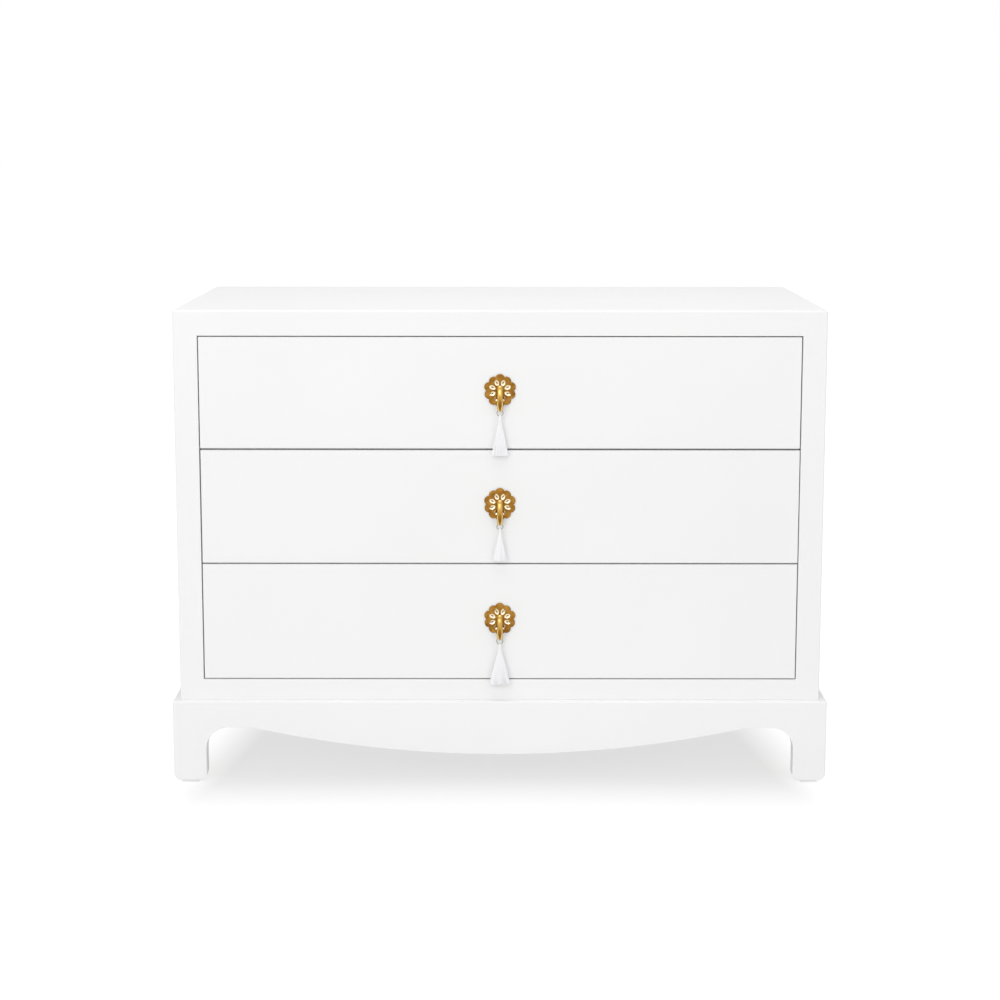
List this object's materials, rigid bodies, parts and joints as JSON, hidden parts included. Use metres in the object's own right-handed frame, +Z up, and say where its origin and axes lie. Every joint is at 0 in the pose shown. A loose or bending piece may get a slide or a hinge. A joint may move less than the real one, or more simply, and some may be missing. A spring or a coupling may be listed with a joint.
{
  "type": "storage chest",
  "caption": "White lacquered storage chest with inset drawers on telescopic slides, a bracket base with a hanging apron, and scalloped brass pulls with drops and thread tassels.",
  "frame": {"origin": "on the floor, under the middle of the object's box", "axes": "+X to the chest's right as seen from the front, -Y to the front, +Z up"},
  "size_m": [1.22, 0.525, 0.8855],
  "materials": {
    "lacquer": "satin white lacquer",
    "raw_wood": "clear sealed wood",
    "brass": "aged brass",
    "steel": "zinc plated",
    "nickel": "bright nickel",
    "thread": "viscose thread",
    "glide": "moulded"
  },
  "bodies": {
    "case": {"top_panel": "lacquer", "side_panel_left": "lacquer", "side_panel_right": "lacquer", "bottom_panel": "lacquer", "back_panel": "raw_wood", "back_screws": "steel", "divider_upper": "lacquer", "divider_lower": "lacquer", "base_front": "lacquer", "base_left": "lacquer", "base_right": "lacquer", "base_back": "raw_wood", "corner_blocks": "raw_wood", "glides": "glide", "case_slides_1": "steel", "case_slides_2": "steel", "case_slides_3": "steel"},
    "drawer_1": {"drawer_front_1": "lacquer", "box_left_1": "raw_wood", "box_right_1": "raw_wood", "box_back_1": "raw_wood", "box_floor_1": "raw_wood", "drawer_slides_1": "steel", "pull_plate_1": "brass", "pull_post_1": "brass", "pull_nut_1": "steel"},
    "slide_1": {"middle_slides_1": "steel"},
    "drop_1": {"pull_drop_1": "brass", "pull_pin_1": "brass"},
    "ring_1": {"pull_ring_1": "nickel"},
    "thread_1": {"tassel_1": "thread"},
    "drawer_2": {"drawer_front_2": "lacquer", "box_left_2": "raw_wood", "box_right_2": "raw_wood", "box_back_2": "raw_wood", "box_floor_2": "raw_wood", "drawer_slides_2": "steel", "pull_plate_2": "brass", "pull_post_2": "brass", "pull_nut_2": "steel"},
    "slide_2": {"middle_slides_2": "steel"},
    "drop_2": {"pull_drop_2": "brass", "pull_pin_2": "brass"},
    "ring_2": {"pull_ring_2": "nickel"},
    "thread_2": {"tassel_2": "thread"},
    "drawer_3": {"drawer_front_3": "lacquer", "box_left_3": "raw_wood", "box_right_3": "raw_wood", "box_back_3": "raw_wood", "box_floor_3": "raw_wood", "drawer_slides_3": "steel", "pull_plate_3": "brass", "pull_post_3": "brass", "pull_nut_3": "steel"},
    "slide_3": {"middle_slides_3": "steel"},
    "drop_3": {"pull_drop_3": "brass", "pull_pin_3": "brass"},
    "ring_3": {"pull_ring_3": "nickel"},
    "thread_3": {"tassel_3": "thread"}
  },
  "joints": [
    {"name": "drawer_1_slide", "type": "slide", "parent": "case", "child": "drawer_1", "axis": [0, -1, 0], "range_m": [0, 0.4]},
    {"name": "middle_1_slide", "type": "slide", "parent": "case", "child": "slide_1", "axis": [0, -1, 0], "range_m": [0, 0.2]},
    {"name": "drop_1_lift", "type": "hinge", "parent": "drawer_1", "child": "drop_1", "pos_m": [0, -0.25405, 0.7447], "axis": [-1, 0, 0], "range_deg": [0, 75]},
    {"name": "ring_1_hang", "type": "hinge", "parent": "drop_1", "child": "ring_1", "pos_m": [0, -0.25436, 0.7038], "axis": [-1, 0, 0], "range_deg": [-75, 0]},
    {"name": "tassel_1_swing", "type": "hinge", "parent": "ring_1", "child": "thread_1", "pos_m": [0, -0.25436, 0.6981], "axis": [0, 1, 0], "range_deg": [-50, 50]},
    {"name": "drawer_2_slide", "type": "slide", "parent": "case", "child": "drawer_2", "axis": [0, -1, 0], "range_m": [0, 0.4]},
    {"name": "middle_2_slide", "type": "slide", "parent": "case", "child": "slide_2", "axis": [0, -1, 0], "range_m": [0, 0.2]},
    {"name": "drop_2_lift", "type": "hinge", "parent": "drawer_2", "child": "drop_2", "pos_m": [0, -0.25405, 0.53295], "axis": [-1, 0, 0], "range_deg": [0, 75]},
    {"name": "ring_2_hang", "type": "hinge", "parent": "drop_2", "child": "ring_2", "pos_m": [0, -0.25436, 0.49205], "axis": [-1, 0, 0], "range_deg": [-75, 0]},
    {"name": "tassel_2_swing", "type": "hinge", "parent": "ring_2", "child": "thread_2", "pos_m": [0, -0.25436, 0.48635], "axis": [0, 1, 0], "range_deg": [-50, 50]},
    {"name": "drawer_3_slide", "type": "slide", "parent": "case", "child": "drawer_3", "axis": [0, -1, 0], "range_m": [0, 0.4]},
    {"name": "middle_3_slide", "type": "slide", "parent": "case", "child": "slide_3", "axis": [0, -1, 0], "range_m": [0, 0.2]},
    {"name": "drop_3_lift", "type": "hinge", "parent": "drawer_3", "child": "drop_3", "pos_m": [0, -0.25405, 0.3157], "axis": [-1, 0, 0], "range_deg": [0, 75]},
    {"name": "ring_3_hang", "type": "hinge", "parent": "drop_3", "child": "ring_3", "pos_m": [0, -0.25436, 0.2748], "axis": [-1, 0, 0], "range_deg": [-75, 0]},
    {"name": "tassel_3_swing", "type": "hinge", "parent": "ring_3", "child": "thread_3", "pos_m": [0, -0.25436, 0.2691], "axis": [0, 1, 0], "range_deg": [-50, 50]}
  ],
  "couplings": [
    {"joint": "middle_1_slide", "follows": "drawer_1_slide", "ratio": 0.5},
    {"joint": "ring_1_hang", "follows": "drop_1_lift", "ratio": -1},
    {"joint": "middle_2_slide", "follows": "drawer_2_slide", "ratio": 0.5},
    {"joint": "ring_2_hang", "follows": "drop_2_lift", "ratio": -1},
    {"joint": "middle_3_slide", "follows": "drawer_3_slide", "ratio": 0.5},
    {"joint": "ring_3_hang", "follows": "drop_3_lift", "ratio": -1}
  ]
}
